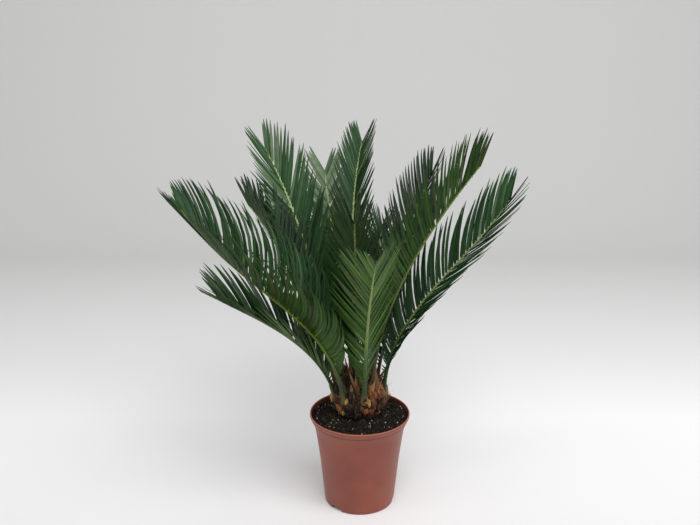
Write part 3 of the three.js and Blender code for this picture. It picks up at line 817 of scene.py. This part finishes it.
def crownScales(draw):
    # narrow pointed scales that stand between the stalks, lower and more splayed outwards
    count = scales["count"]
    share = (np.arange(count) + 0.5) / count
    angle = np.arange(count) * goldenAngle + scales["firstAngle"]
    radius = np.interp(np.sqrt(share), (0, 1), scales["circle"])
    level = np.interp(share, (0, 1), scales["feet"]) + trunk["ground"]
    splay = scales["splay"] * share + scales["splaySpread"] * draw.normal(size=count)
    flat = around(angle, 1.0, 0.0)
    up, out = turned(np.array([0.0, 0.0, 1.0]), flat, np.radians(splay)[:, None])
    up = twisted(up, out, scales["twistSpread"], draw)
    foot = around(angle, radius, level) + trunkCentre
    length = draw.uniform(*scales["lengths"], count)
    width = scales["width"] * draw.uniform(*scales["widths"], count)
    lift = draw.normal(scales["lift"], scales["liftSpread"], count)
    return tongues(foot, out, up, length, width, width * scales["depth"], lift, 0.0, draw)


def threads(centre, first, second, sides, radius):
    # a ring carried along each centre line, centre + (first cos a + second sin a) * radius
    count, steps = centre.shape[:2]
    a = circle(sides)[:, None]
    ring = (first[:, None, None] * np.cos(a) + second[:, None, None] * np.sin(a)) * radius
    low = np.arange(sides)
    ends = np.stack([low[::-1], low + (steps - 1) * sides])
    faces = repeated([gridFaces(steps, sides), ends], count, steps * sides)
    return dict(points=(centre[:, :, None] + ring).reshape(-1, 3), faces=faces)


def fibreSurfaces(draw):
    # hairs from the skin: foot + l (up s + out (lean s + bend s^2) + side (lean s + bend s^2)),
    # where all but the lean along out are random
    count, sides, steps = fibres["count"], fibres["sides"], fibres["steps"]
    angle = draw.uniform(0, 360, count)
    foot, out, up = onTrunk(angle, draw.uniform(*fibres["heights"], count), -fibres["out"])
    side = np.cross(out, up)
    length = draw.uniform(*fibres["lengths"], count)[:, None, None]
    s = np.linspace(0, 1, steps)[None, :, None]
    bend = draw.normal(size=(count, 3))[:, :, None, None]
    outward = fibres["lean"] * s + fibres["outBend"] * bend[:, 0] * s ** 2
    sideward = fibres["sideLean"] * bend[:, 1] * s + fibres["sideBend"] * bend[:, 2] * s ** 2
    centre = foot[:, None] + length * (up[:, None] * s + out[:, None] * outward
                                       + side[:, None] * sideward)
    thick = draw.uniform(*fibres["radii"], count)[:, None, None, None]
    radius = fibres["radius"] * (fibres["thick"] - s[..., None]) * thick
    return dict(**threads(centre, side, out, sides, radius),
                tint=np.repeat(draw.uniform(size=count), steps * sides))


def hookSurfaces():
    # pale threads that rise from the skin and curl over as a grows:
    # foot + l/2 (up sin(a) + side (1 - cos(a)) + out lean a)
    angle, height, length = np.array(hooks["places"], float).T
    foot, out, up = onTrunk(angle, height.clip(0, trunk["top"]), -hooks["out"])
    foot[:, 2] += (height - trunk["top"]).clip(0, None)
    bend = np.linspace(0, hooks["bend"], hooks["steps"])[None, :, None]
    reach = (length / 2)[:, None, None]
    centre = foot[:, None] + reach * (up[:, None] * np.sin(bend)
                                      + np.cross(out, up)[:, None] * (1 - np.cos(bend))
                                      + out[:, None] * hooks["lean"] * bend)
    radius = hooks["radius"] * (hooks["thick"] - bend[..., None] / hooks["bend"])
    surface = threads(centre, out, np.cross(up, out), hooks["sides"], radius)
    return dict(**surface, tint=np.full(len(surface["points"]), hooks["tint"]))


# Screen colours from dark to light, the noise's scale in waves a metre, its depth in metres and
# the share that a piece's own tint has in its colour.
barkFinish = dict(
    skin=dict(colours=[(24, 19, 15), (54, 38, 27), (104, 76, 50)],
              rough=0.9, scale=300.0, depth=0.0012),
    cut=dict(colours=[(40, 28, 20), (96, 66, 42), (168, 126, 84)],
             rough=0.85, scale=420.0, depth=0.0008),
    scale=dict(colours=[(30, 21, 15), (72, 50, 33), (136, 104, 70)],
               rough=0.85, scale=340.0, depth=0.0009),
    fibre=dict(colours=[(60, 44, 30), (110, 84, 56), (166, 140, 100)],
               rough=0.8, scale=200.0, depth=0.0002),
    swelling=dict(colours=[(22, 17, 13), (52, 35, 25), (88, 50, 32), (120, 66, 38),
                           (136, 98, 52), (166, 138, 74)],
                  rough=0.6, scale=380.0, depth=0.0007, tintShare=0.3),
)
barkGrain = dict(detail=6.0, roughness=0.65, stretch=(1, 1, 0.3))


def barkMaterial(name, colours, rough, scale, depth, tintShare=0.55):
    # brown felt: the piece's own tint picks the base colour, stretched noise streaks it
    material = newMaterial("bark_" + name)
    tint = markOf(material, "tint")
    streak = noiseOf(material, scale, **barkGrain)
    half = 0.5 - tintShare / 2
    place = calculated(material, "ADD", tint, rescaled(material, streak, 0.3, 0.7, -half, half))
    places = np.linspace(0.05, 0.95, len(colours)).tolist()
    body = ramp(material, place, list(zip(places, colours)))
    setShader(material, Base_Color=body, Roughness=rough, Specular_IOR_Level=0.25,
              Normal=bumpOf(material, streak, 0.8, depth))
    return material


barks = {name: barkMaterial(name, **finish) for name, finish in barkFinish.items()}
draw = np.random.default_rng(31)
trunkPieces = {
    "trunk_core": (trunkSurface(), ["skin"], 45),
    "trunk_leaf_bases": (leafBases(draw), ["skin", "cut"], 40),
    "trunk_swellings": (swellings(draw), ["swelling"], 85),
    "trunk_hooks": (hookSurfaces(), ["fibre"], 80),
    "trunk_crown_scales": (crownScales(draw), ["scale"], 40),
    "trunk_fibres": (fibreSurfaces(draw), ["fibre"], 80),
}
for name, (surface, finishes, sharp) in trunkPieces.items():
    materials = [barks[finish] for finish in finishes]
    finishPiece(meshPiece(name, materials, sharp=sharp, **surface), "trunk", "trunk")
print("trunk grown")


pot = dict(
    columns=192,
    longest=6, mostParts=24,          # the profile's stretches are cut into parts of this length
    # radius and height, from the middle of the underside out and up to the rim, then inside
    outer=[(0, 2.2), (20, 2.0), (50, 1.2), (56, 0.4), (57.6, 0), (58.6, 0.25), (59.6, 1.1),
           (60, 2.6), (60.6, 8), (67.5, 77), (71.2, 105), (73.4, 121), (74.7, 130),
           (75.6, 135.5), (76.7, 140), (78.1, 144.3), (79.8, 148.6), (81.6, 152.8),
           (83.0, 156.2), (84.1, 157.6), (84.8, 159.0), (84.95, 161.0), (84.8, 162.1),
           (84.4, 162.8), (83.9, 163.0)],
    inner=[(83.1, 162.7), (82.6, 161.8), (82.2, 158.5), (81.7, 152), (81.0, 150.6),
           (79.5, 150.3), (74.2, 150.2), (73.1, 149.4), (72.7, 147.5), (58.3, 4.5),
           (57.2, 3.0), (55, 2.7), (0, 2.7)],
    footRadius=60, underside=2.2,
    notches=3, notchTurn=-41, notchWidth=21, notchHeight=6.5,
    notchFrom=55.5, notchBlend=3,     # the radius where a notch starts, and over which it rises
    notchEdge=0.9,                    # the angle over which its sides rise
)


def potSurface():
    # the profile turned about the axis; inside each notch the foot's outer rings are lifted:
    # z = z + (max(wanted, z) - z) * lifted(angle), where lifted goes from 0 to 1 at its edges
    profile = np.array(pot["outer"] + pot["inner"], float)
    steps = np.hypot(*np.diff(profile, axis=0).T)
    parts = np.clip((steps / pot["longest"]).astype(int), 1, pot["mostParts"])
    rows = denser(profile, parts)
    inside = np.arange(len(rows)) >= parts[:len(pot["outer"]) - 1].sum()
    columns = pot["columns"]
    angle = 360 * np.arange(columns) / columns
    radius, level = np.repeat(rows.T[..., None], columns, -1)
    apart = 360 / pot["notches"]
    offset = (angle - pot["notchTurn"] + apart / 2) % apart - apart / 2
    half = np.degrees(pot["notchWidth"] / 2 / pot["footRadius"])
    lifted = np.clip((half - np.abs(offset)) / pot["notchEdge"] + 0.5, 0, 1)
    foot = (radius > pot["notchFrom"]) & (level < pot["notchHeight"]) & ~inside[:, None]
    rise = np.clip((radius - pot["notchFrom"]) / pot["notchBlend"], 0, 1)
    wanted = pot["underside"] + (pot["notchHeight"] - pot["underside"]) * rise
    level = np.where(foot, level + (np.maximum(wanted, level) - level) * lifted, level)
    points = around(angle, radius, level).reshape(-1, 3)
    poles = [[0, 0, profile[end, 1]] for end in (0, -1)]
    within = np.concatenate([np.repeat(inside[1:], columns), np.zeros(columns), np.ones(columns)])
    return dict(points=np.vstack([points, poles]), faces=closedTube(len(rows), columns),
                faceMaterial=within)


potFinish = dict(
    outside=[(0.3, (120, 60, 48)), (0.5, (130, 67, 52)), (0.75, (143, 78, 61))],
    # the inside's colours are darker copies of the outside's: painted shade on the same plastic
    inside=[(0.3, (92, 48, 39)), (0.5, (104, 55, 45)), (0.75, (116, 64, 52))],
    # the edge colour is a painted highlight along the rim's rounded top, between these heights
    edge=(172, 96, 72), rimHighlightHeights=(0.1612, 0.1629),   # the heights in metres
    roughness=(0.35, 0.48),
    mottling=dict(scale=14.0, detail=4.0, roughness=0.5),
    grain=dict(scale=900.0, detail=2.0, roughness=0.5),
)


def potMaterial(side):
    # moulded plastic, darker inside as painted shade: slow mottling, and a painted highlight, a paler
    # band, along the rim's top edge
    material = newMaterial("moulded_plastic_" + side)
    slow = noiseOf(material, **potFinish["mottling"])
    grain = noiseOf(material, **potFinish["grain"])
    height = placeOn(material, "TexCoord")["Z"]
    body = ramp(material, slow, potFinish[side])
    rimHighlight = rescaled(material, height, *potFinish["rimHighlightHeights"])
    body = mixed(material, rimHighlight, body, colourOf(potFinish["edge"]))
    gloss = rescaled(material, slow, 0.3, 0.7, *potFinish["roughness"])
    setShader(material, Base_Color=body, Roughness=gloss, Specular_IOR_Level=0.4,
              Normal=bumpOf(material, grain, 0.15, 0.0002))
    return material


# the inside material is the same plastic with painted shade
potSides = [potMaterial("outside"), potMaterial("inside")]
finishPiece(meshPiece("pot_wall", potSides, **potSurface()), "pot", "pot")
print("pot turned")


soil = dict(
    hidden=4,                         # stretches of the profile that the pot hides
    profile=[(0, 3.2), (56, 3.2), (71, 151.4), (81.3, 151.4), (81.3, 154.6), (80, 155.0),
             (60, 156.2), (37, 159.6), (20, 160.0), (0, 160.0)],
    columns=220, step=1.2, edgeRings=5, tint=0.2,
    lumps=(1.1, 9, 3), crumbs=(0.5, 3, 4),   # height, size and seed of relief
    reliefLimits=(-2, 1.6),
    outside=79.6, trunkGap=34,        # where the loose grains lie, from the axis and the trunk
    raised=0.35,                      # how high their middles lie, as a share of their size
    # how many of them, from which size to which, how uneven, and of what
    grains=dict(soil_crumbs=(1900, 0.5, 2.5, 0.3, "peat"),
                soil_perlite=(110, 0.4, 1.15, 0.2, "perlite"),
                soil_chips=(90, 0.8, 2.2, 0.55, "bark_chip")),
)


def soilHeight(radius):
    # the profile's height at a radius on the open top
    rows = np.array(soil["profile"][soil["hidden"]:], float)[::-1]
    return np.interp(radius, *rows.T)


def soilSurface():
    # a mound turned about the axis; the open top carries lumps and crumbs of relief
    profile = np.array(soil["profile"], float)
    steps = np.hypot(*np.diff(profile, axis=0).T)
    parts = np.maximum((steps / soil["step"]).astype(int), 1)
    parts[:soil["hidden"]] = 1
    rows = denser(profile, parts)
    columns = soil["columns"]
    angle = 360 * np.arange(columns) / columns
    points = around(angle, rows[:, :1], rows[:, 1:]).reshape(-1, 3)
    free = np.repeat(np.arange(len(rows)) > soil["edgeRings"], columns)
    high = relief(points, soil["lumps"], soil["crumbs"])
    points[:, 2] += free * np.clip(high, *soil["reliefLimits"])
    points = np.vstack([points, [[0, 0, profile[0, 1]], [0, 0, points[-1, 2]]]])
    return dict(points=points, faces=closedTube(len(rows), columns),
                tint=np.full(len(points), soil["tint"]))


# A grain's belt goes up and down by zigzag, its poles lie further out, and each of its corners
# is moved to a share of its distance from the middle; all in sizes of the grain.
grain = dict(zigzag=0.5, pole=1.1, corners=(0.65, 1.25))


def grainSurfaces(count, smallest, largest, uneven, draw):
    # lumps with twelve corners, a zigzag belt of ten and two poles, each corner moved in or
    # out a little; they are turned at random and strewn on the soil round the trunk
    i = np.arange(10)
    turn = np.radians(36 * i)
    odd = i % 2 == 1
    height = np.where(odd, -grain["zigzag"], grain["zigzag"])
    belt = np.stack([np.cos(turn), np.sin(turn), height], -1)
    corners = np.vstack([belt, [[0, 0, grain["pole"]], [0, 0, -grain["pole"]]]])
    after, second = (i + 1) % 10, (i + 2) % 10
    side = np.stack([i, np.where(odd, second, after), np.where(odd, after, second)], -1)
    top = np.stack([i[::2], second[::2], np.full(5, 10)], -1)
    bottom = np.stack([second[1::2], i[1::2], np.full(5, 11)], -1)
    lump = corners * draw.uniform(*grain["corners"], (count, 12, 1))
    lump = lump * draw.uniform(1 - uneven, 1 + uneven, (count, 1, 3))
    axis = unit(draw.normal(size=(count, 3)))[:, None]
    angle = draw.uniform(0, np.pi, (count, 1, 1))
    lump = (lump * np.cos(angle) + np.cross(axis, lump) * np.sin(angle)
            + axis * (axis * lump).sum(-1, keepdims=True) * (1 - np.cos(angle)))
    size = draw.uniform(0, 1, count) ** 2 * (largest - smallest) + smallest
    radius = soil["outside"] * np.sqrt(draw.uniform(0, 1, count))
    place = around(draw.uniform(0, 360, count), radius, soilHeight(radius))
    clear = np.hypot(*(place - trunkCentre)[:, :2].T) > soil["trunkGap"]
    place[:, 2] += relief(place, soil["lumps"]) + soil["raised"] * size
    points = (lump * size[:, None, None] + place[:, None])[clear]
    faces = repeated([np.vstack([side, top, bottom])], len(points), 12)
    return dict(points=points.reshape(-1, 3), faces=faces,
                tint=np.repeat(draw.uniform(size=len(points)), 12))


# Screen colours from dark to light, roughness and the noise's scale in waves a metre.
soilFinish = dict(
    peat=([(9, 8, 7), (26, 22, 18), (60, 51, 41)], 0.95, 500.0),
    perlite=([(190, 186, 176), (220, 217, 208), (240, 238, 232)], 0.8, 700.0),
    bark_chip=([(40, 30, 22), (70, 54, 36), (120, 108, 66)], 0.9, 400.0),
)
soilPlaces = (0.35, 0.65, 0.95)       # of the three colours, on the noise plus the tint's share
soilTintShare = 0.4


def soilMaterial(name):
    # each grain's tint and a fine noise together pick the colour
    colours, rough, scale = soilFinish[name]
    material = newMaterial(name)
    fine = noiseOf(material, scale, 6.0, 0.7)
    place = calculated(material, "MULTIPLY_ADD", markOf(material, "tint"), soilTintShare, fine)
    body = ramp(material, place, list(zip(soilPlaces, colours)))
    setShader(material, Base_Color=body, Roughness=rough, Specular_IOR_Level=0.2,
              Normal=bumpOf(material, fine, 0.9, 0.0012))
    return material


soilSorts = {name: soilMaterial(name) for name in soilFinish}
draw = np.random.default_rng(58)
finishPiece(meshPiece("soil_bed", [soilSorts["peat"]], **soilSurface()), "soil", "soil")
for name, (count, smallest, largest, uneven, sort) in soil["grains"].items():
    grains = grainSurfaces(count, smallest, largest, uneven, draw)
    finishPiece(meshPiece(name, [soilSorts[sort]], sharp=0, **grains), "soil", "soil")
print("soil laid")


stage = dict(
    width=5000, front=-2600, bend=1500, back=2300, height=3200,
    straightRows=12, bendRows=24, columns=9,
    # screen colours of the backdrop at depths behind the pot, in metres; painted light, brightest just
    # behind the pot and greyer in front and up the wall
    paintedLightTones=[(-0.3, (226, 225, 226)), (0.3, (252, 251, 252)), (0.6, (242, 241, 242)),
           (1.5, (222, 222, 221))],
    # place, aim, size and power of each light; places in metres
    lights=dict(light_front=((0.35, -1.1, 2.2), (0, 0, 0.4), (1.8, 1.3), 36),
                light_right=((1.9, -1.0, 1.4), (0, 0, 0.3), (1.0, 1.4), 12),
                light_left=((-2.1, -0.9, 1.2), (0, 0, 0.3), (1.0, 1.6), 8)),
    world=0.5,
    camera=(-0.0165, -1.3162, 0.8176), down=16.5,   # its place in metres, its tilt
    sensor=36, focalPixels=850, pictureWidth=700,   # the picture's width in pixels
)


def sweepSurface():
    # a floor that curves up into a wall: y and z follow a straight, a quarter circle, a straight
    radius = stage["back"] - stage["bend"]
    turn = np.linspace(0, np.pi / 2, stage["bendRows"])
    floor = np.linspace(stage["front"], stage["bend"], stage["straightRows"])[:-1]
    y = np.concatenate([floor, stage["bend"] + radius * np.sin(turn), [stage["back"]]])
    z = np.concatenate([0 * floor, radius * (1 - np.cos(turn)), [stage["height"]]])
    x = np.linspace(-stage["width"] / 2, stage["width"] / 2, stage["columns"])
    points = np.stack(np.broadcast_arrays(x, y[:, None], z[:, None]), -1).reshape(-1, 3)
    return dict(points=points, faces=[gridFaces(len(y), len(x), closed=False)])


def sweepMaterial():
    # a matt backdrop whose colour goes through its tones with the depth, a painted falloff of the light
    material = newMaterial("backdrop")
    near, far = stage["paintedLightTones"][0][0], stage["paintedLightTones"][-1][0]
    place = rescaled(material, placeOn(material, "TexCoord")["Y"], near, far)
    stops = [((depth - near) / (far - near), shade) for depth, shade in stage["paintedLightTones"]]
    setShader(material, Base_Color=ramp(material, place, stops), Roughness=0.9,
              Specular_IOR_Level=0.1)
    return material


def softLight(name, place, aim, size, power):
    # a wide light that points from its place to its aim
    light = bpy.data.lights.new(name, "AREA")
    light.shape = "RECTANGLE"
    light.size, light.size_y = size
    light.energy = power
    lamp = bpy.data.objects.new(name, light)
    bpy.context.scene.collection.objects.link(lamp)
    lamp.location = place
    x, y, z = unit(np.array(aim) - np.array(place))
    lamp.rotation_euler = (np.arccos(-z), 0, np.arctan2(y, x) - np.pi / 2)


sweep = meshPiece("backdrop", [sweepMaterial()], sharp=80, **sweepSurface())
for name, settings in stage["lights"].items():
    softLight(name, *settings)

world = bpy.data.worlds.new("studio")
world.use_nodes = True
background = world.node_tree.nodes["Background"]
background.inputs["Color"].default_value = (1, 1, 1, 1)
background.inputs["Strength"].default_value = stage["world"]
bpy.context.scene.world = world
bpy.context.scene.view_settings.view_transform = "Standard"

lens = bpy.data.cameras.new("camera")
lens.lens = stage["focalPixels"] * stage["sensor"] / stage["pictureWidth"]
lens.sensor_width = stage["sensor"]
camera = bpy.data.objects.new("camera", lens)
bpy.context.scene.collection.objects.link(camera)
camera.location = stage["camera"]
camera.rotation_euler = (np.radians(90 - stage["down"]), 0, 0)
bpy.context.scene.camera = camera
print("stage set")
